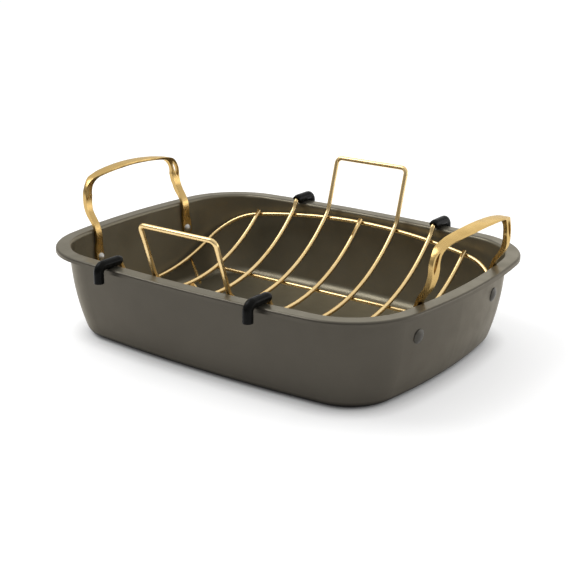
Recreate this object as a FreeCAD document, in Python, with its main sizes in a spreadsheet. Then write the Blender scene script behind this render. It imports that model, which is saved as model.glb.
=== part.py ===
import FreeCAD
import Part
import math
import os

# Roasting pan with two riveted end handles and a wire rack that lifts out.
# Millimetres, +Z up, +X along the pan. The origin is the middle of the pan's underside.
# Heights named "above" or "below" are measured from the top of the rim.

V = FreeCAD.Vector
X_AXIS = V(1, 0, 0)
Y_AXIS = V(0, 1, 0)
Z_AXIS = V(0, 0, 1)
SMALL = 1e-6

doc = FreeCAD.newDocument("roasting_pan_with_rack")

# Every size of the part that can be set by itself
SIZES = [
    ("rim_length", 410, "rim, over all, along X"),
    ("rim_width", 312, "rim, over all, along Y"),
    ("long_side_radius", 1525, "plan radius of the long sides"),
    ("end_radius", 570, "plan radius of the ends"),
    ("corner_radius", 74, "plan radius of the rim corners"),
    ("pan_height", 88, "underside to top of rim"),
    ("sheet", 1.8, "pan sheet thickness"),
    ("rim_shelf", 13, "outer edge of the rim to the wall"),
    ("lip_drop", 4.5, "height of the turned-down lip"),
    ("lip_radius", 2.2, "outer bend of the lip"),
    ("throat_radius", 3, "inner bend from rim to wall"),
    ("wall_bow_radius", 240, "upright curve of the wall"),
    ("base_radius", 12, "bend from wall to floor"),
    ("grip_rise", 54.8, "top of the end handles above the rim"),
    ("grip_arch_radius", 300, "arch of the grip"),
    ("grip_width", 13.5, "grip strap, across"),
    ("grip_inset", 3.6, "middle of the grip in from the rim's outer edge"),
    ("strap_thickness", 2.4, "grip strap"),
    ("handle_side_gap", 86.5, "outer face of a handle leg in from the long edge of the rim"),
    ("shoulder_radius", 18, "outer corner of the end handle"),
    ("gusset_reach", 23, "where the inner strip leaves the grip, in from the leg's outer face"),
    ("leg_depth", 10.2, "leg along Y below the shoulder"),
    ("leg_low_depth", 7.5, "leg along Y above the rim"),
    ("leg_taper_above", 18, "where a leg is down to that depth, above the rim"),
    ("leg_width", 4, "leg along X below the shoulder"),
    ("leg_low_width", 2.7, "leg along X at the rim"),
    ("leg_wall_gap", 1.2, "leg clear of the wall at the rim"),
    ("leg_bend_below", 10, "start of a leg's outward bend below the rim"),
    ("leg_bend_above", 31, "end of that bend above the rim, on the leg's inner face"),
    ("leg_front_bend_above", 27, "end of that bend above the rim, on its outward face"),
    ("flare_low", 40, "where a leg starts to widen, above the rim"),
    ("flare_high", 52, "where it reaches the grip's width, above the rim"),
    ("slit_skin", 1.7, "leg left outside the slit"),
    ("slit_width", 4.4, "widest part of the slit in a leg"),
    ("slit_low", 27, "bottom of the slit above the rim"),
    ("slit_tip", 55, "degrees round the shoulder to the top of the slit"),
    ("foot_thickness", 3, "flattened foot of a leg"),
    ("foot_radius", 5.5, "round end of the foot"),
    ("seat_gap", 0.1, "clearance between seated faces"),
    ("rivet_leg_inset", 3.5, "rivet centre in from the leg's outer face"),
    ("rivet_below", 29, "rivet centre below the rim"),
    ("rivet_diameter", 5, "rivet shank"),
    ("rivet_clearance", 0.15, "hole round the shank, on the radius"),
    ("outer_head_diameter", 13, "low dome outside"),
    ("outer_head_height", 2.2, "low dome outside"),
    ("inner_head_diameter", 8.5, "round head inside"),
    ("inner_head_height", 3, "round head inside"),
    ("head_edge", 0.3, "straight edge of a rivet head"),
    ("rack_floor_gap", 23.8, "lowest cross wire centre above the pan's underside"),
    ("wire_diameter", 4.5, "cross, hook and handle wires"),
    ("ring_wire_diameter", 4.1, "perimeter ring"),
    ("rail_diameter", 3.4, "bottom rails"),
    ("strut_diameter", 2.8, "end struts"),
    ("weld_gap", 0.25, "clearance where wires cross"),
    ("wire_tip", 2, "cross wire beyond the ring"),
    ("ring_end_gap", 5.1, "ring centre line in from the wall, at the ends"),
    ("ring_side_gap", 6.4, "ring centre line in from the wall, at the long sides"),
    ("ring_below", 7.5, "ring centre line below the rim, at the long sides"),
    ("outer_wire_gap", 49.4, "outer cross wires in from the ring's ends"),
    ("ring_side_bow", 9.4, "how far the ring's long sides bow out between its corners"),
    ("ring_end_bow", 4.7, "how far the ring's ends bow out between its corners"),
    ("ring_corner", 45, "length of the ring's corners each way"),
    ("rail_half_gap", 55, "bottom rail from the middle"),
    ("rail_overhang", 4, "rail beyond the outer cross wires"),
    ("strut_ring_half_gap", 62, "strut at the ring, from the middle"),
    ("strut_wire_half_gap", 22, "strut at the outer cross wire, from the middle"),
    ("strut_overhang", 3, "strut beyond the wires it joins"),
    ("riser_lead", 3.5, "length of the bend where a wire turns up past the ring"),
    ("rack_handle_inset", 5, "top bar of a rack handle in from the rim's outer edge"),
    ("rack_handle_rise_front", 48, "front top bar centre above the rim"),
    ("rack_handle_rise_back", 53, "back top bar centre above the rim"),
    ("rack_handle_bend", 5.8, "corner bend of a rack handle"),
    ("hook_inner_gap", 3.6, "hook's inner corner in from the wall"),
    ("hook_outer_gap", 3.5, "sleeve clear of the rim's outer edge"),
    ("hook_below", 10.5, "end of a hook sleeve below the rim"),
    ("hook_inner_bend", 0.8, "inner face of a sleeve's bend, inside the rim"),
    ("hook_outer_bend", 1.6, "inner face of a sleeve's bend, outside the rim"),
    ("sleeve_diameter", 9.2, "hook sleeve, outside"),
    ("sleeve_clearance", 0.1, "bore round the wire, on the radius"),
    ("sleeve_end", 1.5, "closed end of a sleeve"),
    ("rest_gap", 0.2, "sleeve above the rim when the rack rests"),
    ("rack_forward", 2.4, "the rack rests this far towards the front of the pan"),
]

sheet = doc.addObject("Spreadsheet::Sheet", "Sizes")
for row, (alias, value, note) in enumerate(SIZES, start=1):
    sheet.set("A%d" % row, alias)
    sheet.set("B%d" % row, str(value))
    sheet.set("C%d" % row, note)
    sheet.setAlias("B%d" % row, alias)
doc.recompute()


def size(alias):
    return float(sheet.get(alias))


# The rack's wires are drawn about its own middle and rest a little towards the front
rack_rest = V(0, -size("rack_forward"), 0)

nodes = []


def finish_node(thing, label):
    thing.Label = label
    nodes.append(thing)


# Plain geometry helpers


def arc(centre, radius, start, end):
    return Part.ArcOfCircle(Part.Circle(centre, Z_AXIS, radius), start, end)


def line(start, end):
    return Part.LineSegment(start, end)


def arc_middle(start, tangent, end):
    """Middle point of the arc that leaves start along tangent and reaches end."""
    chord = end.sub(start)
    along = V(chord).normalize()
    aside = V(tangent).sub(V(along).multiply(tangent.dot(along)))
    middle = start.add(V(chord).multiply(0.5))
    if aside.Length < SMALL:
        return middle
    half_turn = math.atan2(aside.Length, tangent.dot(along))
    rise = 0.5 * chord.Length * math.tan(half_turn / 2)
    return middle.add(aside.normalize().multiply(rise))


def end_tangent(start, tangent, end):
    along = end.sub(start).normalize()
    return V(along).multiply(2 * tangent.dot(along)).sub(tangent)


def arc_edge(start, tangent, end):
    return Part.Arc(start, arc_middle(start, tangent, end), end).toShape()


def line_edge(start, end):
    return Part.LineSegment(start, end).toShape()


def rounded_run(points, radii):
    """Edges of a bent rod: straight runs with tangent arcs at the inner points."""
    edges = []
    at = points[0]
    for before, corner, after, radius in zip(points, points[1:], points[2:], radii):
        back = before.sub(corner).normalize()
        ahead = after.sub(corner).normalize()
        reach = radius / math.tan(back.getAngle(ahead) / 2)
        bend_start = corner.add(V(back).multiply(reach))
        bend_end = corner.add(V(ahead).multiply(reach))
        if bend_start.sub(at).Length > SMALL:
            edges.append(line_edge(at, bend_start))
        edges.append(arc_edge(bend_start, V(back).negative(), bend_end))
        at = bend_end
    edges.append(line_edge(at, points[-1]))
    return edges


def mirrored(edges, normal):
    """The same run of edges on the other side, walked the other way."""
    flipped = []
    for edge in edges:
        flipped.append(edge.mirror(V(0, 0, 0), normal))
    flipped.reverse()
    return flipped


def new_sketch(body, name, plane, geometry):
    sketch = body.newObject("Sketcher::SketchObject", name)
    planes = {feature.Role: feature for feature in body.Origin.OriginFeatures}
    sketch.AttachmentSupport = (planes[plane], [""])
    sketch.MapMode = "FlatFace"
    sketch.addGeometry(geometry, False)
    return sketch


def swept_rod(name, edges, diameter, point, direction):
    """Round rod along a path; diameter is a cell or a sum of cells."""
    path = doc.addObject("Part::Feature", name + "_path")
    path.Shape = Part.Wire(Part.__sortEdges__(edges)).translated(rack_rest)
    section = doc.addObject("Part::Circle", name + "_section")
    section.setExpression("Radius", "(%s) / 2" % diameter)
    section.Placement = FreeCAD.Placement(point.add(rack_rest), FreeCAD.Rotation(Z_AXIS, direction))
    rod = doc.addObject("Part::Sweep", name)
    rod.Sections = [section]
    rod.Spine = (path, ["Edge%d" % number for number in range(1, len(path.Shape.Edges) + 1)])
    rod.Solid = True
    rod.Frenet = False
    return rod


def straight_rod(label, start, end, diameter):
    rod = doc.addObject("Part::Cylinder", label)
    rod.setExpression("Radius", "Sizes.%s / 2" % diameter)
    rod.Height = end.sub(start).Length
    rod.Placement = FreeCAD.Placement(start.add(rack_rest), FreeCAD.Rotation(Z_AXIS, end.sub(start)))
    finish_node(rod, label)


# Sizes that follow from the sheet

rim = size("pan_height")
half_length = size("rim_length") / 2
half_width = size("rim_width") / 2
sheet_thickness = size("sheet")
wall_inset = size("rim_shelf") + sheet_thickness
bow = size("wall_bow_radius")
throat = size("throat_radius")
base_bend = size("base_radius")

end_centre = V(half_length - size("end_radius"), 0, 0)
side_centre = V(0, half_width - size("long_side_radius"), 0)
handle_half_span = half_width - size("handle_side_gap")
rivet_half_span = handle_half_span - size("rivet_leg_inset")

# Upright curve of the wall, in the plane of a section with the rim's edge at half_length
wall_centre = V(half_length - size("rim_shelf") - bow, rim - throat, 0)
wall_lean = math.asin((rim - throat - base_bend) / (bow - base_bend))
base_centre = V(wall_centre.x + (bow - base_bend) * math.cos(wall_lean), base_bend, 0)
floor_inset = half_length - base_centre.x


def rim_outline(inset):
    """Nine tangent arcs round the pan, from the middle of the +X end."""
    to_end = size("end_radius") - size("corner_radius")
    to_side = size("long_side_radius") - size("corner_radius")
    span = side_centre.sub(end_centre)
    along = V(span).normalize()
    across = V(-along.y, along.x, 0)
    foot = (to_end ** 2 - to_side ** 2 + span.Length ** 2) / (2 * span.Length)
    offset = math.sqrt(to_end ** 2 - foot ** 2)
    corner = end_centre.add(along.multiply(foot)).add(across.multiply(offset))
    end_turn = math.atan2(corner.y - end_centre.y, corner.x - end_centre.x)
    side_turn = math.atan2(corner.y - side_centre.y, corner.x - side_centre.x)
    end = size("end_radius") - inset
    side = size("long_side_radius") - inset
    bend = size("corner_radius") - inset
    half = math.pi
    full = 2 * math.pi
    return [
        arc(end_centre, end, 0, end_turn),
        arc(corner, bend, end_turn, side_turn),
        arc(side_centre, side, side_turn, half - side_turn),
        arc(V(-corner.x, corner.y, 0), bend, half - side_turn, half - end_turn),
        arc(V(-end_centre.x, 0, 0), end, half - end_turn, half + end_turn),
        arc(V(-corner.x, -corner.y, 0), bend, half + end_turn, half + side_turn),
        arc(V(0, -side_centre.y, 0), side, half + side_turn, full - side_turn),
        arc(V(corner.x, -corner.y, 0), bend, full - side_turn, full - end_turn),
        arc(end_centre, end, full - end_turn, full),
    ]


def wall_section():
    """Lip, flat rim, bowed wall and floor bend, one sheet thick."""
    edge = half_length
    lip = size("lip_radius")
    lip_end = rim - size("lip_drop")
    lip_centre = V(edge - lip, rim - lip, 0)
    throat_centre = V(edge - wall_inset + throat, rim - throat, 0)
    quarter = math.pi / 2
    under = rim - sheet_thickness
    return [
        line(V(edge, lip_end, 0), V(edge, rim - lip, 0)),
        arc(lip_centre, lip, 0, quarter),
        line(V(lip_centre.x, rim, 0), V(throat_centre.x, rim, 0)),
        arc(throat_centre, throat, quarter, math.pi),
        arc(wall_centre, bow - sheet_thickness, -wall_lean, 0),
        arc(base_centre, base_bend - sheet_thickness, -quarter, -wall_lean),
        line(V(base_centre.x, sheet_thickness, 0), V(base_centre.x, 0, 0)),
        arc(base_centre, base_bend, -quarter, -wall_lean),
        arc(wall_centre, bow, -wall_lean, 0),
        arc(throat_centre, throat - sheet_thickness, quarter, math.pi),
        line(V(throat_centre.x, under, 0), V(lip_centre.x, under, 0)),
        arc(lip_centre, lip - sheet_thickness, 0, quarter),
        line(V(edge - sheet_thickness, rim - lip, 0), V(edge - sheet_thickness, lip_end, 0)),
        line(V(edge - sheet_thickness, lip_end, 0), V(edge, lip_end, 0)),
    ]


# Pan: the section carried round the rim, and a flat floor

pan_body = doc.addObject("PartDesign::Body", "pan_pressing")
outline = rim_outline(0)
rim_path = new_sketch(pan_body, "rim_path", "XY_Plane", outline)
section_sketch = new_sketch(pan_body, "wall_section", "XZ_Plane", wall_section())
doc.recompute()

wall = pan_body.newObject("PartDesign::AdditivePipe", "wall")
wall.Profile = (section_sketch, [""])
wall.Spine = (rim_path, ["Edge%d" % number for number in range(1, len(outline) + 1)])
wall.Mode = "Standard"

floor_sketch = new_sketch(pan_body, "floor_outline", "XY_Plane", rim_outline(floor_inset))
floor = pan_body.newObject("PartDesign::Pad", "floor")
floor.Profile = (floor_sketch, [""])
floor.setExpression("Length", "Sizes.sheet")
doc.recompute()


# Rivet places: on the end walls, square to the wall

rivet_lean = math.asin((size("rivet_below") - throat) / bow)
rivet_inset = size("rim_shelf") + bow * (1 - math.cos(rivet_lean))
rivet_turn = math.asin(rivet_half_span / (size("end_radius") - rivet_inset))
half_turn_about_z = FreeCAD.Placement(V(0, 0, 0), FreeCAD.Rotation(Z_AXIS, 180))


def rivet_place(end, side):
    """Placement on the wall's outer face, +Z outward; end and side are 1 or -1."""
    turn = side * rivet_turn
    reach = size("end_radius") - rivet_inset
    flat = V(math.cos(turn), math.sin(turn), 0)
    point = end_centre.add(V(flat).multiply(reach)).add(V(0, 0, rim - size("rivet_below")))
    outward = flat.multiply(math.cos(rivet_lean)).add(V(0, 0, -math.sin(rivet_lean)))
    place = FreeCAD.Placement(point, FreeCAD.Rotation(Z_AXIS, outward))
    if end < 0:
        place = half_turn_about_z.multiply(place)
    return place


def rivet_hole(name, place):
    depth = 20
    hole = doc.addObject("Part::Cylinder", name)
    hole.setExpression("Radius", "Sizes.rivet_diameter / 2 + Sizes.rivet_clearance")
    hole.Height = depth
    hole.Placement = place.multiply(FreeCAD.Placement(V(0, 0, -depth / 2), FreeCAD.Rotation()))
    return hole


def group(name, things):
    grouped = doc.addObject("Part::Compound", name)
    grouped.Links = things
    return grouped


def end_holes(prefix, end):
    return group(prefix + "_holes", [
        rivet_hole(prefix + "_hole_front", rivet_place(end, -end)),
        rivet_hole(prefix + "_hole_back", rivet_place(end, end)),
    ])


def cut(name, base, tool):
    result = doc.addObject("Part::Cut", name)
    result.Base = base
    result.Tool = tool
    return result


holes = {1: end_holes("right", 1), -1: end_holes("left", -1)}
pan_holes = group("pan_holes", [holes[1], holes[-1]])
finish_node(cut("roasting_pan", pan_body, pan_holes), "roasting_pan")


# End handles: a front view across the pan, cut to a side view turned about the end's centre


def handle_front():
    """Arched strap, shoulders, slit legs and round feet, in Y and Z."""
    span = handle_half_span
    top = rim + size("grip_rise")
    arch = size("grip_arch_radius")
    strap = size("strap_thickness")
    shoulder = size("shoulder_radius")
    arch_low = top - arch
    knee_rise = math.sqrt((arch - shoulder) ** 2 - (span - shoulder) ** 2)
    knee = V(span - shoulder, arch_low + knee_rise, 0)
    knee_turn = math.atan2(knee.y - arch_low, knee.x)
    rivet = V(rivet_half_span, rim - size("rivet_below"), 0)
    foot = size("foot_radius")

    under = arch - strap
    gusset_turn = math.acos((span - size("gusset_reach")) / under)
    gusset = V(span - size("gusset_reach"), arch_low + under * math.sin(gusset_turn), 0)
    gusset_way = V(math.sin(gusset_turn), -math.cos(gusset_turn), 0)
    leg_top = V(span - size("leg_depth"), knee.y - strap / 2, 0)
    leg_low = V(span - size("leg_low_depth"), rim + size("leg_taper_above"), 0)
    foot_top = rivet.y + 1.5 * foot
    foot_merge = foot_top + 1.5 * foot

    slit_turn = math.radians(size("slit_tip"))
    slit_top = knee.add(V(math.cos(slit_turn), math.sin(slit_turn), 0).multiply(shoulder - strap))
    slit_outer = V(span - size("slit_skin"), knee.y, 0)
    slit_inner = V(slit_outer.x - size("slit_width"), knee.y + size("slit_skin"), 0)
    slit_bottom = V(span - strap, rim + size("slit_low"), 0)

    outer = [
        line(V(span, foot_merge, 0), V(span, knee.y, 0)),
        arc(knee, shoulder, 0, knee_turn),
        Part.Arc(gusset, arc_middle(gusset, gusset_way, leg_top), leg_top),
        line(leg_top, leg_low),
        line(leg_low, V(rivet.x - foot, rivet.y, 0)),
        arc(rivet, foot, math.pi, 2 * math.pi),
        line(V(rivet.x + foot, rivet.y, 0), V(rivet.x + foot, foot_top, 0)),
        line(V(rivet.x + foot, foot_top, 0), V(span, foot_merge, 0)),
    ]
    slit = [
        Part.Arc(slit_top, slit_outer, slit_bottom),
        Part.Arc(slit_bottom, slit_inner, slit_top),
    ]
    geometry = [
        arc(V(0, arch_low, 0), arch, knee_turn, math.pi - knee_turn),
        arc(V(0, arch_low, 0), under, gusset_turn, math.pi - gusset_turn),
    ]
    for curve in outer + slit:
        other = curve.copy()
        other.mirror(V(0, 0, 0), Y_AXIS)
        geometry.append(curve)
        geometry.append(other)
    return geometry


def wall_face_point(radius, lean):
    """Point on a face that follows the wall's upright curve, by its angle below level."""
    return wall_centre.add(V(math.cos(lean), -math.sin(lean), 0).multiply(radius))


def s_bend(low, high):
    """Two arcs from low to high, upright at both ends."""
    middle = low.add(high).multiply(0.5)
    return [
        Part.Arc(low, arc_middle(low, Y_AXIS, middle), middle),
        Part.Arc(high, arc_middle(high, V(Y_AXIS).negative(), middle), middle),
    ]


def handle_side():
    """Foot on the wall, S bend over the rim, widening into the grip, in X and Z."""
    half_leg = size("leg_width") / 2
    half_grip = size("grip_width") / 2
    grip_x = half_length - size("grip_inset")
    low = rim - size("leg_bend_below")
    front_low = V(half_length - wall_inset - size("leg_wall_gap"), low, 0)
    front_high = V(grip_x + half_leg, rim + size("leg_front_bend_above"), 0)
    back_low = V(front_low.x - size("leg_low_width"), low, 0)
    back_high = V(grip_x - half_leg, rim + size("leg_bend_above"), 0)

    outer_face = bow - sheet_thickness - size("seat_gap")
    inner_face = outer_face - size("foot_thickness")
    foot_end = rim - size("rivet_below") - 2 * size("foot_radius")
    foot_start = rim - size("rivet_below") + 2 * size("foot_radius")
    end_lean = math.asin((wall_centre.y - foot_end) / outer_face)
    start_lean = math.asin((wall_centre.y - foot_start) / outer_face)
    inner_end = wall_face_point(inner_face, end_lean)
    inner_start = wall_face_point(inner_face, start_lean)
    outer_end = wall_face_point(outer_face, end_lean)
    outer_start = wall_face_point(outer_face, start_lean)

    flare_low = rim + size("flare_low")
    flare_high = rim + size("flare_high")
    crown = rim + size("grip_rise") + size("strap_thickness")
    geometry = [
        arc(wall_centre, outer_face, -end_lean, -start_lean),
        line(outer_start, front_low),
        line(back_low, inner_start),
        arc(wall_centre, inner_face, -end_lean, -start_lean),
        line(inner_end, outer_end),
        line(V(grip_x - half_grip, crown, 0), V(grip_x + half_grip, crown, 0)),
    ]
    geometry += s_bend(front_low, front_high)
    geometry += s_bend(back_low, back_high)
    for side, bend_end in ((1, front_high), (-1, back_high)):
        leg_edge = V(bend_end.x, flare_low, 0)
        grip_edge = V(grip_x + side * half_grip, flare_high, 0)
        geometry.append(line(bend_end, leg_edge))
        geometry.append(Part.Arc(leg_edge, arc_middle(leg_edge, Y_AXIS, grip_edge), grip_edge))
        geometry.append(line(grip_edge, V(grip_edge.x, crown, 0)))
    return geometry


def frame_lines(left, right, low, high):
    corners = [V(left, low, 0), V(right, low, 0), V(right, high, 0), V(left, high, 0)]
    return [line(start, end) for start, end in zip(corners, corners[1:] + corners[:1])]


def end_handle(label, end):
    body = doc.addObject("PartDesign::Body", label + "_strap")
    front = new_sketch(body, label + "_front", "YZ_Plane", handle_front())
    blank = body.newObject("PartDesign::Pad", label + "_blank")
    blank.Profile = (front, [""])
    blank.setExpression("Length", "Sizes.rim_length / 2 + Sizes.grip_width")

    reach = half_length + 2 * size("grip_width")
    window = frame_lines(-size("grip_width"), reach, 0, rim + 2 * size("grip_rise"))
    side = new_sketch(body, label + "_side", "XZ_Plane", handle_side() + window)
    side.addGeometry(line(V(end_centre.x, 0, 0), V(end_centre.x, rim, 0)), True)
    doc.recompute()
    volume = blank.Shape.Volume
    trim = body.newObject("PartDesign::Groove", label + "_trim")
    trim.Profile = (side, [""])
    trim.ReferenceAxis = (side, ["Axis0"])
    trim.Angle = 4 * math.degrees(rivet_turn)
    trim.Midplane = True
    doc.recompute()
    assert trim.Shape.Volume < volume, label + " was not trimmed"
    if end < 0:
        body.Placement = half_turn_about_z
    finish_node(cut(label, body, holes[end]), label)


end_handle("right_handle", 1)
end_handle("left_handle", -1)


# Rivets: a low dome outside, a rounder head on the handle's foot


def rivet_section():
    shank = size("rivet_diameter") / 2
    gap = size("seat_gap")
    edge = size("head_edge")
    outer = size("outer_head_diameter") / 2
    inner = size("inner_head_diameter") / 2
    grip = sheet_thickness + gap + size("foot_thickness") + gap
    outer_top = V(0, gap + size("outer_head_height"), 0)
    outer_rim = V(outer, gap + edge, 0)
    inner_top = V(0, -grip - size("inner_head_height"), 0)
    inner_rim = V(inner, -grip - edge, 0)
    return [
        line(inner_top, outer_top),
        Part.Arc(outer_top, arc_middle(outer_top, X_AXIS, outer_rim), outer_rim),
        line(outer_rim, V(outer, gap, 0)),
        line(V(outer, gap, 0), V(shank, gap, 0)),
        line(V(shank, gap, 0), V(shank, -grip, 0)),
        line(V(shank, -grip, 0), V(inner, -grip, 0)),
        line(V(inner, -grip, 0), inner_rim),
        Part.Arc(inner_top, arc_middle(inner_top, X_AXIS, inner_rim), inner_rim),
    ]


def rivet(name, place):
    body = doc.addObject("PartDesign::Body", name)
    section = new_sketch(body, name + "_section", "XZ_Plane", rivet_section())
    turned = body.newObject("PartDesign::Revolution", name + "_turned")
    turned.Profile = (section, [""])
    turned.ReferenceAxis = (section, ["V_Axis"])
    turned.Angle = 360
    body.Placement = place
    return body


for prefix, end in (("right", 1), ("left", -1)):
    pair = group(prefix + "_handle_rivets", [
        rivet(prefix + "_rivet_front", rivet_place(end, -end)),
        rivet(prefix + "_rivet_back", rivet_place(end, end)),
    ])
    finish_node(pair, prefix + "_handle_rivets")


# Rack: cross wires lie in a round trough, the ring and rails run outside them

def inside_wall(height):
    """Inner face of the wall at a height, in from the rim's outer edge."""
    drop = rim - throat - height
    return size("rim_shelf") + bow - math.sqrt((bow - sheet_thickness) ** 2 - drop ** 2)


def bow_radius(half_chord, rise):
    return (half_chord ** 2 + rise ** 2) / (2 * rise)


wire = size("wire_diameter")
ring_step_out = (wire + size("ring_wire_diameter")) / 2 + size("weld_gap")
ring_low = size("rack_floor_gap") - ring_step_out
ring_high = rim - size("ring_below")
ring_half_length = half_length - inside_wall(ring_low) - size("ring_end_gap")
ring_half_width = half_width - inside_wall(ring_high) - size("ring_side_gap")
corner_x = ring_half_length - size("ring_corner")
corner_y = ring_half_width - size("ring_corner")
pitch = (ring_half_length - size("outer_wire_gap")) / 3
ring_trough = bow_radius(ring_half_width, ring_high - ring_low)
trough = ring_trough - ring_step_out
axis_height = ring_low + ring_trough


def trough_point(x, y, radius):
    return V(x, y, axis_height - math.sqrt(radius ** 2 - y ** 2))


def ring_side_y(x):
    bowed = bow_radius(corner_x, size("ring_side_bow"))
    return ring_half_width - bowed + math.sqrt(bowed ** 2 - x ** 2)


def ring_end_x(y):
    bowed = bow_radius(corner_y, size("ring_end_bow"))
    return ring_half_length - bowed + math.sqrt(bowed ** 2 - y ** 2)


def biarc(start, start_way, end, end_way):
    """Two tangent arcs from one point and direction to another."""
    span = end.sub(start)
    ways = start_way.add(end_way)
    spread = 2 * (1 - start_way.dot(end_way))
    lean = span.dot(ways)
    reach = (math.sqrt(lean ** 2 + spread * span.dot(span)) - lean) / spread
    first = start.add(V(start_way).multiply(reach))
    last = end.sub(V(end_way).multiply(reach))
    joint = first.add(last).multiply(0.5)
    return [
        arc_edge(start, start_way, joint),
        arc_edge(joint, last.sub(first).normalize(), end),
    ]


side_middle = trough_point(0, ring_half_width, ring_trough)
side_end = trough_point(corner_x, ring_side_y(corner_x), ring_trough)
end_middle = trough_point(ring_half_length, 0, ring_trough)
end_end = trough_point(ring_end_x(corner_y), corner_y, ring_trough)
side_way = end_tangent(side_middle, X_AXIS, side_end)
end_way = end_tangent(end_middle, Y_AXIS, end_end).negative()

quarter_ring = [arc_edge(side_middle, X_AXIS, side_end)]
quarter_ring += biarc(side_end, side_way, end_end, end_way)
quarter_ring.append(arc_edge(end_end, end_way, end_middle))


def both_halves(label, half):
    """A closed wire from the half of it with X above zero."""
    other = doc.addObject("Part::Mirroring", label + "_other_half")
    other.Source = half
    other.Base = V(0, 0, 0)
    other.Normal = X_AXIS
    whole = doc.addObject("Part::Fuse", label)
    whole.Base = half
    whole.Tool = other
    finish_node(whole, label)


half_ring = swept_rod("half_ring", quarter_ring + mirrored(quarter_ring, Y_AXIS),
                      "Sizes.ring_wire_diameter", side_middle, X_AXIS)
both_halves("rack_ring", half_ring)


def crossing_angle(x):
    """Where a cross wire passes the ring, from straight down."""
    return math.asin(ring_side_y(abs(x)) / ring_trough)


def trough_arc(x, half_angle):
    side = V(x, trough * math.sin(half_angle), axis_height - trough * math.cos(half_angle))
    bottom = V(x, 0, axis_height - trough)
    return Part.Arc(V(side.x, -side.y, side.z), bottom, side).toShape()


def riser_start(x):
    """End of the trough curve just past the ring, and the point the wire turns at."""
    angle = crossing_angle(x) + wire / 2 / trough
    start = V(x, trough * math.sin(angle), axis_height - trough * math.cos(angle))
    way = V(0, math.cos(angle), math.sin(angle))
    return angle, start, start.add(way.multiply(size("riser_lead")))


def lead_radius(start, corner, after):
    """Bend radius that uses the whole length from start to corner."""
    turn = math.pi - start.sub(corner).getAngle(after.sub(corner))
    return corner.sub(start).Length / math.tan(turn / 2)


# Cross wires that stop just above the ring
for word, x in (("left", -3 * pitch), ("middle", 0), ("right", 3 * pitch)):
    label = "cross_wire_" + word
    half_angle = crossing_angle(x) + size("wire_tip") / trough
    rod = doc.addObject("Part::Torus", label)
    rod.Radius1 = trough
    rod.setExpression("Radius2", "Sizes.wire_diameter / 2")
    rod.Angle3 = 2 * math.degrees(half_angle)
    upright = FreeCAD.Rotation(Z_AXIS.negative(), Y_AXIS, X_AXIS, "ZXY")
    start = FreeCAD.Rotation(Z_AXIS, -math.degrees(half_angle))
    rod.Placement = FreeCAD.Placement(V(x, 0, axis_height).add(rack_rest), upright.multiply(start))
    finish_node(rod, label)

# Handle wire: third and fifth cross wires joined over the top into two upright handles
handle_angle, handle_start, handle_turn = riser_start(pitch)


def bar_middle(rise):
    return V(0, half_width - size("rack_handle_inset"), rim + rise)


def handle_run(rise):
    """From the trough up one leg to the middle of the top bar, at the back."""
    middle = bar_middle(rise)
    corner = middle.add(V(pitch, 0, 0))
    radii = [lead_radius(handle_start, handle_turn, corner), size("rack_handle_bend")]
    return rounded_run([handle_start, handle_turn, corner, middle], radii)


back_rise = size("rack_handle_rise_back")
front_rise = size("rack_handle_rise_front")
handle_edges = handle_run(back_rise)
handle_edges.append(trough_arc(pitch, handle_angle))
handle_edges += mirrored(handle_run(front_rise), Y_AXIS)
half_handle = swept_rod("half_handle_wire", handle_edges, "Sizes.wire_diameter",
                        bar_middle(back_rise), X_AXIS)
both_halves("rack_handle_wire", half_handle)

# Hook wires: second and sixth cross wires, bent over the long rims inside soft sleeves
hook_x = 2 * pitch
rim_edge_y = side_centre.y + math.sqrt(size("long_side_radius") ** 2 - hook_x ** 2)
sleeve_radius = size("sleeve_diameter") / 2
hook_bends = [sleeve_radius + size("hook_inner_bend"), sleeve_radius + size("hook_outer_bend")]
hook_height = rim + size("rest_gap") + sleeve_radius
hook_inner_y = rim_edge_y - wall_inset - size("hook_inner_gap")
hook_outer_y = rim_edge_y + size("hook_outer_gap") + sleeve_radius
sleeve_low = rim - size("hook_below")
wire_low = sleeve_low + size("sleeve_end") + size("sleeve_clearance")


def hook_points(x, low):
    inner = V(x, hook_inner_y, hook_height)
    outer = V(x, hook_outer_y, hook_height)
    return inner, outer, V(x, hook_outer_y, low)


def sleeve_path(x, side, low):
    """From half way round the inner bend to the hook's end; side is 1 at the back."""
    turn = riser_start(x)[2]
    run = rounded_run([turn, *hook_points(x, low)], hook_bends)
    bend = run[1]
    bend_start = bend.valueAt(bend.FirstParameter)
    bend_middle = bend.valueAt((bend.FirstParameter + bend.LastParameter) / 2)
    bend_end = bend.valueAt(bend.LastParameter)
    run = [arc_edge(bend_middle, bend_end.sub(bend_start).normalize(), bend_end)] + run[2:]
    if side < 0:
        run = [edge.mirror(V(0, 0, 0), Y_AXIS) for edge in run]
    end = V(x, side * hook_outer_y, low)
    return run, end


def hook_wire(label, x):
    angle, start, turn = riser_start(x)
    points = [start, turn, *hook_points(x, wire_low)]
    run = rounded_run(points, [lead_radius(start, turn, points[2]), *hook_bends])
    edges = run + [trough_arc(x, angle)] + mirrored(run, Y_AXIS)
    finish_node(swept_rod(label, edges, "Sizes.wire_diameter", points[-1], Z_AXIS), label)


def hook_sleeve(label, x, side):
    run, end = sleeve_path(x, side, sleeve_low)
    outside = swept_rod(label + "_outside", run, "Sizes.sleeve_diameter", end, Z_AXIS)
    run, end = sleeve_path(x, side, sleeve_low + size("sleeve_end"))
    bore_width = "Sizes.wire_diameter + 2 * Sizes.sleeve_clearance"
    bore = swept_rod(label + "_bore", run, bore_width, end, Z_AXIS)
    finish_node(cut(label, outside, bore), label)


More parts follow.
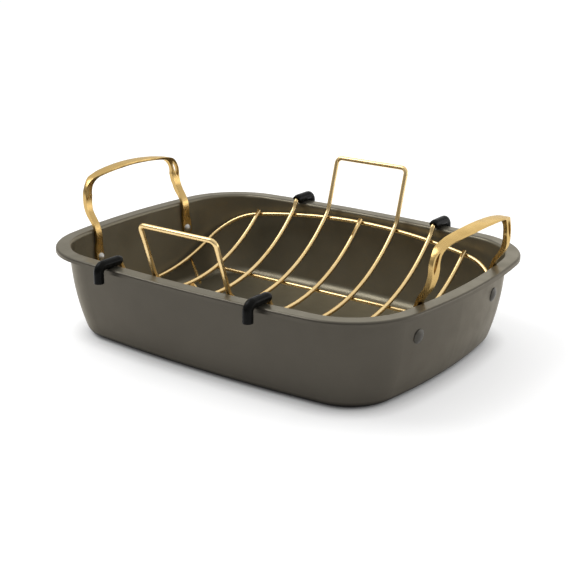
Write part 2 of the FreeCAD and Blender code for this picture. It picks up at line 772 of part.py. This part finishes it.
for word, x in (("left", -hook_x), ("right", hook_x)):
    hook_wire("hook_wire_" + word, x)
    hook_sleeve("hook_sleeve_front_" + word, x, -1)
    hook_sleeve("hook_sleeve_back_" + word, x, 1)

# Bottom rails under the cross wires
rail_trough = trough + (wire + size("rail_diameter")) / 2 + size("weld_gap")
rail_reach = 3 * pitch + wire / 2 + size("rail_overhang")
for word, side in (("back", 1), ("front", -1)):
    y = side * size("rail_half_gap")
    straight_rod("bottom_rail_" + word, trough_point(-rail_reach, y, rail_trough),
                 trough_point(rail_reach, y, rail_trough), "rail_diameter")

# End struts from under the ring's ends to under the outer cross wires
sag = end_middle.sub(V(end_end.x, 0, end_end.z)).Length
ring_end_bend = bow_radius(corner_y, sag)


def ring_end_point(y):
    toward = V(end_end.x, 0, end_end.z).sub(end_middle).normalize()
    part = ring_end_bend - math.sqrt(ring_end_bend ** 2 - y ** 2)
    return end_middle.add(toward.multiply(part)).add(V(0, y, 0))


def outward(point, distance):
    """The point moved away from the trough's axis."""
    away = V(0, point.y, point.z - axis_height).normalize()
    return point.add(away.multiply(distance))


strut = size("strut_diameter")
ring_step = (size("ring_wire_diameter") + strut) / 2 + size("weld_gap")
wire_step = (wire + strut) / 2 + size("weld_gap")
strut_at_ring = outward(ring_end_point(size("strut_ring_half_gap")), ring_step)
strut_at_wire = outward(trough_point(3 * pitch, size("strut_wire_half_gap"), trough), wire_step)
strut_way = strut_at_ring.sub(strut_at_wire).normalize()
strut_start = strut_at_wire.sub(V(strut_way).multiply(size("strut_overhang")))
strut_end = strut_at_ring.add(V(strut_way).multiply(size("strut_overhang")))
for end_word, end in (("left", -1), ("right", 1)):
    for side_word, side in (("back", 1), ("front", -1)):
        straight_rod("%s_strut_%s" % (end_word, side_word),
                     V(end * strut_start.x, side * strut_start.y, strut_start.z),
                     V(end * strut_end.x, side * strut_end.y, strut_end.z), "strut_diameter")

doc.recompute()

# Every object has to be sound before any file is written
for thing in doc.Objects:
    assert "Invalid" not in thing.State and "Error" not in thing.State, thing.Label
for thing in nodes:
    assert not thing.Shape.isNull(), thing.Label + " is empty"
    assert thing.Shape.isValid(), thing.Label + " is not valid"
    assert len(thing.Shape.Solids) > 0, thing.Label + " has no solid"

os.makedirs("parts", exist_ok=True)
for thing in nodes:
    thing.Shape.exportStep("parts/%s.step" % thing.Label)
    print(thing.Label, len(thing.Shape.Solids), round(thing.Shape.Volume, 1))
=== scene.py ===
import math
from functools import cached_property

import bpy
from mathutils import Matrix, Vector


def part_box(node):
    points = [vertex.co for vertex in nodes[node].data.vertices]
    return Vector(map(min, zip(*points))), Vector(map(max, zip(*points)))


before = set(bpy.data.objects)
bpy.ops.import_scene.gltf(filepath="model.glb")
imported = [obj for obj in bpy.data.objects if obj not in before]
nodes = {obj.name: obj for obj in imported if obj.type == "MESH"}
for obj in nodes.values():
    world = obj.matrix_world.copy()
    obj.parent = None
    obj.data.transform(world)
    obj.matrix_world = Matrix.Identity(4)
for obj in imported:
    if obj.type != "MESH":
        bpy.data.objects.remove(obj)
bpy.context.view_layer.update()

# Looks of the roasting pan and its lift-out rack. Metres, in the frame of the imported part.

MM = 0.001
scene = bpy.context.scene

# Camera: fitted to the rim, rivets and wire crossings of the photograph
VIEW_AZIMUTH = 36.643
VIEW_ELEVATION = 18.762
VIEW_DISTANCE = 1.1299
VIEW_TARGET = Vector((0.0082, -0.0095, 0.0511))
LENS_MM = 74.62
SENSOR_MM = 36.0

# Colours, linear
PAN_COLOUR = (0.078, 0.070, 0.057, 1)
PAN_COLOUR_LIGHT = (0.088, 0.079, 0.064, 1)
PAN_INSIDE = (0.166, 0.149, 0.107, 1)
PAN_INSIDE_LIGHT = (0.184, 0.165, 0.119, 1)
PAN_RIM_HIGHLIGHT = (0.120, 0.111, 0.086, 1)
PAN_FOOT_SHADE = (0.007, 0.006, 0.005, 1)
PAN_SHEEN = (0.95, 0.88, 0.74, 1)
GRIP_COLOUR = (0.58, 0.400, 0.160, 1)
GRIP_COLOUR_DEEP = (0.52, 0.345, 0.128, 1)
WIRE_COLOUR = (0.86, 0.65, 0.34, 1)
WIRE_COLOUR_DEEP = (0.78, 0.56, 0.26, 1)
GOLD_SHEEN = (1.0, 0.90, 0.66, 1)
GOLD_SHADE = (0.10, 0.055, 0.016, 1)
RIVET_COLOUR = (0.60, 0.585, 0.55, 1)
RIVET_COLOUR_DULL = (0.42, 0.41, 0.39, 1)
RIVET_COATED = (0.052, 0.047, 0.038, 1)
RIVET_COATED_LIGHT = (0.062, 0.056, 0.045, 1)
SLEEVE_COLOUR = (0.0025, 0.0025, 0.0023, 1)
SLEEVE_COLOUR_WORN = (0.006, 0.006, 0.0054, 1)
FLOOR_COLOUR = (0.70, 0.70, 0.70, 1)
WHITE = (1, 1, 1, 1)

# Patterns: a noise is its scale per metre and its detail, and is read between two limits
NOISE_LIMITS = (0.3, 0.7)
FULL_RANGE = (0, 1)

# Pan coat: the wave is the pressing's slight unevenness, the grain that of the coat itself
COAT_METALLIC = 0.6
COAT_IOR = 1.45
COAT_ROUGHNESS = (0.30, 0.40)
COAT_CLOUD = (14, 3)
COAT_GLOSS = (60, 5)
COAT_WAVE = (30, 2)
COAT_WAVE_DEPTH = 0.10 * MM
COAT_GRAIN = (2600, 2)
COAT_GRAIN_DEPTH = 0.012 * MM
# A face is inside where it looks at a point in the pan, with height counted most
INWARD_POINT_HEIGHT = 50 * MM
INWARD_WEIGHT = Vector((7, 7, 20))
INWARD_LIMITS = (0, 0.4)
# Painted highlight: the rim is paler where it is level; painted shade: the foot is darker where it
# doesn't face up
RIM_HIGHLIGHT_BELOW_TOP = (2 * MM, 0.5 * MM)
RIM_HIGHLIGHT_UPWARD = (0.75, 0.98)
FOOT_SHADE_HEIGHT = (2.5 * MM, 8 * MM)
FOOT_SHADE_UPWARD = (-0.2, 0.1)

# Gold finishes: the stretch draws the brush lines out along a piece
GRIP_GOLD = {
    "colour": GRIP_COLOUR, "deep": GRIP_COLOUR_DEEP,
    "stretch": (1, 0.03, 0.03), "roughness": (0.22, 0.34), "relief": 0.012 * MM,
}
WIRE_GOLD = {
    "colour": WIRE_COLOUR, "deep": WIRE_COLOUR_DEEP,
    "stretch": (0.3, 0.05, 0.05), "roughness": (0.22, 0.31), "relief": 0.004 * MM,
}
BRUSH_LINES = (900, 3)
GOLD_CLOUD = (45, 3)
# Painted shade: gold darkens towards dark brown in crevices found by ambient occlusion
CREVICE_REACH = 5 * MM
CREVICE_LIMITS = (0.25, 0.75)
CREVICE_SHADE_STRENGTH = 0.85
# Painted shade: upward faces of the cut wire ends above this height take the dark brown
CUT_END_HEIGHT = 70 * MM
CUT_END_FADE = 2 * MM
CUT_END_UPWARD = (0.64, 0.70)

# Black silicone of the sleeves
SLEEVE_SPECULAR = 0.07
SLEEVE_ROUGHNESS = (0.24, 0.36)
SLEEVE_DUST = (260, 5)
SLEEVE_GLOSS = (500, 3)
SLEEVE_GRAIN = (1500, 3)
SLEEVE_GRAIN_DEPTH = 0.03 * MM

# Rivets: bare metal inside the pan and coated outside
RIVET_COAT_FADE = 0.2 * MM
RIVET_ROUGHNESS = (0.34, 0.46)
RIVET_MARKS = (700, 4)
RIVET_GRAIN = (1200, 3)
RIVET_GRAIN_DEPTH = 0.02 * MM

# Edge softening of the CAD meshes
WELD_DISTANCE = 0.001 * MM
EDGE_SEGMENTS = 3
EDGE_ANGLE = math.radians(35)
HANDLE_EDGE = 0.6 * MM
WIRE_EDGE = 0.6 * MM
SLEEVE_EDGE = 1.0 * MM

# Floor: the lift makes it white to the camera and in reflections, and fades out beside the pan, adding
# painted contact shade to the real shadow
FLOOR_SIZE = 60.0
FLOOR_DROP = 0.2 * MM
FLOOR_LIFT = 0.46
FLOOR_LIFT_CLEARANCE = 0.02

# Room: the world's light rises towards one direction
ROOM_LIGHT_FROM = (-0.05, 0.62, 0.77)
ROOM_LIGHT_LIMITS = (-0.6, 1.0)
ROOM_STRENGTH = (0.1, 1.1)


class Paint:
    """A Principled material and short calls for the nodes that vary it."""

    def __init__(self, name, **sockets):
        self.material = bpy.data.materials.new(name)
        self.material.use_nodes = True
        self.tree = self.material.node_tree
        self.shader = self.tree.nodes["Principled BSDF"]
        for socket, value in sockets.items():
            self.shader.inputs[socket.replace("_", " ")].default_value = value

    @cached_property
    def place(self):
        """Object coordinates."""
        return self.node("ShaderNodeTexCoord").outputs["Object"]

    @cached_property
    def normal(self):
        """Direction that the surface faces."""
        return self.node("ShaderNodeNewGeometry").outputs["Normal"]

    def node(self, kind, **settings):
        made = self.tree.nodes.new(kind)
        for name, value in settings.items():
            setattr(made, name, value)
        return made

    def link(self, source, target):
        self.tree.links.new(source, target)

    def placed(self, scale, location=(0, 0, 0)):
        """Object coordinates, scaled each way and moved."""
        mapping = self.node("ShaderNodeMapping")
        mapping.inputs["Scale"].default_value = scale
        mapping.inputs["Location"].default_value = location
        self.link(self.place, mapping.inputs["Vector"])
        return mapping.outputs["Vector"]

    def coordinate(self, vector, axis):
        """One coordinate of a vector."""
        split = self.node("ShaderNodeSeparateXYZ")
        self.link(vector, split.inputs["Vector"])
        return split.outputs[axis]

    def maths(self, operation, *values):
        """One Math node over node outputs and plain numbers."""
        result = self.node("ShaderNodeMath", operation=operation)
        for socket, value in zip(result.inputs, values):
            if isinstance(value, (int, float)):
                socket.default_value = value
            else:
                self.link(value, socket)
        return result.outputs["Value"]

    def noise(self, pattern, stretch=(1, 1, 1)):
        """Noise of a scale and a detail, stretched each way."""
        scale, detail = pattern
        texture = self.node("ShaderNodeTexNoise")
        texture.inputs["Scale"].default_value = scale
        texture.inputs["Detail"].default_value = detail
        self.link(self.placed(stretch), texture.inputs["Vector"])
        return texture.outputs["Fac"]

    def ranged(self, value, to_limits, from_limits=NOISE_LIMITS):
        """A value between two limits, carried to two others."""
        limits = self.node("ShaderNodeMapRange")
        limits.inputs["From Min"].default_value = from_limits[0]
        limits.inputs["From Max"].default_value = from_limits[1]
        limits.inputs["To Min"].default_value = to_limits[0]
        limits.inputs["To Max"].default_value = to_limits[1]
        self.link(value, limits.inputs["Value"])
        return limits.outputs["Result"]

    def rising(self, value, limits):
        """From 0 at the first limit to 1 at the second."""
        return self.ranged(value, (0, 1), limits)

    def falling(self, value, limits):
        """From 1 at the first limit to 0 at the second."""
        return self.ranged(value, (1, 0), limits)

    def mixed(self, factor, first, second):
        """Colour between two others; each is a colour or another node's socket."""
        mix = self.node("ShaderNodeMix", data_type="RGBA")
        for name, colour in (("A", first), ("B", second)):
            socket = [s for s in mix.inputs if s.name == name and s.type == "RGBA"][0]
            if isinstance(colour, tuple):
                socket.default_value = colour
            else:
                self.link(colour, socket)
        self.link(factor, mix.inputs[0])
        return [s for s in mix.outputs if s.type == "RGBA"][0]

    def drive(self, socket, value):
        """Links a node's output to one of the shader's sockets."""
        self.link(value, self.shader.inputs[socket])

    def bump(self, height, depth, under=None):
        """Surface relief of a depth in metres, on top of another relief."""
        relief = self.node("ShaderNodeBump")
        relief.inputs["Strength"].default_value = 1.0
        relief.inputs["Distance"].default_value = depth
        self.link(height, relief.inputs["Height"])
        if under is not None:
            self.link(under, relief.inputs["Normal"])
        self.drive("Normal", relief.outputs["Normal"])
        return relief.outputs["Normal"]


def pan_paint(rim_height):
    """Satin coating with a fine grain, warmer inside, a painted highlight on the level rim top and
    painted shade at the foot.
    """
    paint = Paint("coated_pan", Metallic=COAT_METALLIC, IOR=COAT_IOR)
    height = paint.coordinate(paint.place, "Z")
    upward = paint.coordinate(paint.normal, "Z")

    cloud = paint.rising(paint.noise(COAT_CLOUD), NOISE_LIMITS)
    outside = paint.mixed(cloud, PAN_COLOUR, PAN_COLOUR_LIGHT)
    inside = paint.mixed(cloud, PAN_INSIDE, PAN_INSIDE_LIGHT)
    inward = paint.placed(-INWARD_WEIGHT, (0, 0, INWARD_WEIGHT.z * INWARD_POINT_HEIGHT))
    facing = paint.node("ShaderNodeVectorMath", operation="DOT_PRODUCT")
    paint.link(paint.normal, facing.inputs[0])
    paint.link(inward, facing.inputs[1])
    coat = paint.mixed(paint.rising(facing.outputs["Value"], INWARD_LIMITS), outside, inside)

    # Painted highlight: level faces at the top of the rim take the paler rim colour
    at_rim = paint.rising(height, [rim_height - below for below in RIM_HIGHLIGHT_BELOW_TOP])
    rim_highlight = paint.maths("MULTIPLY", at_rim, paint.rising(upward, RIM_HIGHLIGHT_UPWARD))
    coat = paint.mixed(rim_highlight, coat, PAN_RIM_HIGHLIGHT)

    # Painted shade: faces near the floor that don't face up go dark, in the colour and in the
    # reflection's tint
    at_foot = paint.falling(height, FOOT_SHADE_HEIGHT)
    foot_shade = paint.maths("MULTIPLY", at_foot, paint.falling(upward, FOOT_SHADE_UPWARD))
    paint.drive("Base Color", paint.mixed(foot_shade, coat, PAN_FOOT_SHADE))
    paint.drive("Specular Tint", paint.mixed(foot_shade, PAN_SHEEN, PAN_FOOT_SHADE))

    paint.drive("Roughness", paint.ranged(paint.noise(COAT_GLOSS), COAT_ROUGHNESS))
    wave = paint.bump(paint.noise(COAT_WAVE), COAT_WAVE_DEPTH)
    paint.bump(paint.noise(COAT_GRAIN), COAT_GRAIN_DEPTH, wave)
    return paint.material


def brushed_gold(name, colour, deep, stretch, roughness, relief, cut_above=None):
    """Gold with brush lines, painted shade in its crevices, and painted shade on upward cut ends above
    a height.
    """
    paint = Paint(name, Metallic=1.0, Specular_Tint=GOLD_SHEEN)
    lines = paint.noise(BRUSH_LINES, stretch)
    cloud = paint.rising(paint.noise(GOLD_CLOUD), NOISE_LIMITS)
    clean = paint.mixed(cloud, colour, deep)
    # Painted shade in the crevices, from ambient occlusion
    crevice = paint.node("ShaderNodeAmbientOcclusion")
    crevice.inputs["Distance"].default_value = CREVICE_REACH
    crevice_shade = paint.ranged(crevice.outputs["AO"], (CREVICE_SHADE_STRENGTH, 0), CREVICE_LIMITS)
    shaded_gold = paint.mixed(crevice_shade, clean, GOLD_SHADE)
    # Painted shade on the upward cut ends
    if cut_above is not None:
        high = paint.rising(paint.coordinate(paint.place, "Z"), (cut_above, cut_above + CUT_END_FADE))
        level = paint.rising(paint.coordinate(paint.normal, "Z"), CUT_END_UPWARD)
        shaded_gold = paint.mixed(paint.maths("MULTIPLY", high, level), shaded_gold, GOLD_SHADE)
    paint.drive("Base Color", shaded_gold)
    paint.drive("Roughness", paint.ranged(lines, roughness))
    paint.bump(lines, relief)
    return paint.material


def sleeve_paint():
    """Black silicone, a little dusty."""
    paint = Paint("black_sleeve", Specular_IOR_Level=SLEEVE_SPECULAR)
    dust = paint.rising(paint.noise(SLEEVE_DUST), NOISE_LIMITS)
    paint.drive("Base Color", paint.mixed(dust, SLEEVE_COLOUR, SLEEVE_COLOUR_WORN))
    paint.drive("Roughness", paint.ranged(paint.noise(SLEEVE_GLOSS), SLEEVE_ROUGHNESS))
    paint.bump(paint.noise(SLEEVE_GRAIN), SLEEVE_GRAIN_DEPTH)
    return paint.material


def rivet_paint(split):
    """Bare metal inside the pan, coated like the pan outside; split is the |x| between them."""
    paint = Paint("rivet")
    distance = paint.maths("ABSOLUTE", paint.coordinate(paint.place, "X"))
    outside = paint.rising(distance, (split, split + RIVET_COAT_FADE))
    marks = paint.rising(paint.noise(RIVET_MARKS), NOISE_LIMITS)
    bare = paint.mixed(marks, RIVET_COLOUR, RIVET_COLOUR_DULL)
    coated = paint.mixed(marks, RIVET_COATED, RIVET_COATED_LIGHT)
    paint.drive("Base Color", paint.mixed(outside, bare, coated))
    paint.drive("Metallic", paint.ranged(outside, (1, COAT_METALLIC), FULL_RANGE))
    paint.drive("Roughness", paint.ranged(marks, RIVET_ROUGHNESS, FULL_RANGE))
    paint.bump(paint.noise(RIVET_GRAIN), RIVET_GRAIN_DEPTH)
    return paint.material


def floor_paint():
    """Plain pale floor; its lift is seen by the camera and in reflections, lights nothing, and fades
    beside the pan as painted contact shade.
    """
    paint = Paint(
        "floor", Base_Color=FLOOR_COLOUR, Roughness=1.0, Specular_IOR_Level=0.0, Emission_Color=WHITE)
    path = paint.node("ShaderNodeLightPath")
    open_floor = paint.node("ShaderNodeAmbientOcclusion")
    open_floor.inputs["Distance"].default_value = FLOOR_LIFT_CLEARANCE
    seen = paint.maths("MAXIMUM", path.outputs["Is Camera Ray"], path.outputs["Is Glossy Ray"])
    # Painted contact shade: the lift fades where the floor is close to the pan
    clear = paint.maths("MULTIPLY", seen, open_floor.outputs["AO"])
    paint.drive("Emission Strength", paint.maths("MULTIPLY", clear, FLOOR_LIFT))
    return paint.material


def dress(name, material, edge=None):
    """Puts a finish on a CAD node and, where a width is given, rounds its sharp edges."""
    thing = nodes[name]
    thing.data.materials.clear()
    thing.data.materials.append(material)
    if edge is None:
        return
    weld = thing.modifiers.new("weld", "WELD")
    weld.merge_threshold = WELD_DISTANCE
    bevel = thing.modifiers.new("soft_edges", "BEVEL")
    bevel.width = edge
    bevel.segments = EDGE_SEGMENTS
    bevel.limit_method = "ANGLE"
    bevel.angle_limit = EDGE_ANGLE
    bevel.harden_normals = True


def light_panel(name, place, aim, size, watts):
    """Soft rectangular lamp that faces a point."""
    lamp = bpy.data.lights.new(name, "AREA")
    lamp.shape = "RECTANGLE"
    lamp.size, lamp.size_y = size
    lamp.energy = watts
    panel = bpy.data.objects.new(name, lamp)
    panel.location = place
    panel.rotation_euler = (Vector(aim) - Vector(place)).to_track_quat("-Z", "Y").to_euler()
    scene.collection.objects.link(panel)


def light_room():
    """World that is dim low in front and bright high behind."""
    world = bpy.data.worlds.new("room")
    scene.world = world
    world.use_nodes = True
    tree = world.node_tree
    backdrop = tree.nodes["Background"]
    backdrop.inputs["Color"].default_value = WHITE
    way = tree.nodes.new("ShaderNodeVectorMath")
    way.operation = "DOT_PRODUCT"
    way.inputs[1].default_value = ROOM_LIGHT_FROM
    tree.links.new(tree.nodes.new("ShaderNodeTexCoord").outputs["Generated"], way.inputs[0])
    level = tree.nodes.new("ShaderNodeMapRange")
    level.inputs["From Min"].default_value = ROOM_LIGHT_LIMITS[0]
    level.inputs["From Max"].default_value = ROOM_LIGHT_LIMITS[1]
    level.inputs["To Min"].default_value = ROOM_STRENGTH[0]
    level.inputs["To Max"].default_value = ROOM_STRENGTH[1]
    tree.links.new(way.outputs["Value"], level.inputs["Value"])
    tree.links.new(level.outputs["Result"], backdrop.inputs["Strength"])


def place_camera():
    """Camera on a line from the target, by azimuth from the front and elevation."""
    azimuth = math.radians(VIEW_AZIMUTH)
    elevation = math.radians(VIEW_ELEVATION)
    back = Vector((
        math.sin(azimuth) * math.cos(elevation),
        -math.cos(azimuth) * math.cos(elevation),
        math.sin(elevation),
    ))
    lens = bpy.data.cameras.new("camera")
    lens.lens = LENS_MM
    lens.sensor_width = SENSOR_MM
    camera = bpy.data.objects.new("camera", lens)
    camera.location = VIEW_TARGET + back * VIEW_DISTANCE
    camera.rotation_euler = (-back).to_track_quat("-Z", "Y").to_euler()
    scene.collection.objects.link(camera)
    scene.camera = camera


# Finishes on the CAD nodes
pan_finish = pan_paint(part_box("roasting_pan")[1].z)
grip_finish = brushed_gold("handle_gold", **GRIP_GOLD)
wire_finish = brushed_gold("wire_gold", **WIRE_GOLD)
cut_wire_finish = brushed_gold("wire_gold_cut", **WIRE_GOLD, cut_above=CUT_END_HEIGHT)
sleeve_finish = sleeve_paint()
rivet_low, rivet_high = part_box("right_handle_rivets")
rivet_finish = rivet_paint((rivet_low.x + rivet_high.x) / 2)

for name in nodes:
    if name == "roasting_pan":
        dress(name, pan_finish)
    elif name.endswith("_rivets"):
        dress(name, rivet_finish)
    elif name in ("left_handle", "right_handle"):
        dress(name, grip_finish, HANDLE_EDGE)
    elif name.startswith("hook_sleeve"):
        dress(name, sleeve_finish, SLEEVE_EDGE)
    elif name.startswith("cross_wire"):
        dress(name, cut_wire_finish, WIRE_EDGE)
    else:
        dress(name, wire_finish, WIRE_EDGE)

# Floor
bpy.ops.mesh.primitive_plane_add(size=FLOOR_SIZE, location=(0, 0, -FLOOR_DROP))
floor = bpy.context.object
floor.name = "floor"
floor.data.materials.append(floor_paint())

# Light: a large key panel high on the left, a weak one far behind, a low one on the right, and the room
light_panel("key", place=(-0.95, -0.45, 1.5), aim=(0, 0, 0.05), size=(1.0, 1.0), watts=14)
light_panel("back_soft", place=(-0.9, 1.8, 0.75), aim=(0.1, 0, 0.12), size=(1.0, 0.6), watts=1.0)
light_panel("right_low", place=(1.4, 1.2, 0.35), aim=(0.1, 0, 0.06), size=(1.4, 0.5), watts=5)
light_room()

place_camera()
scene.view_settings.view_transform = "Standard"
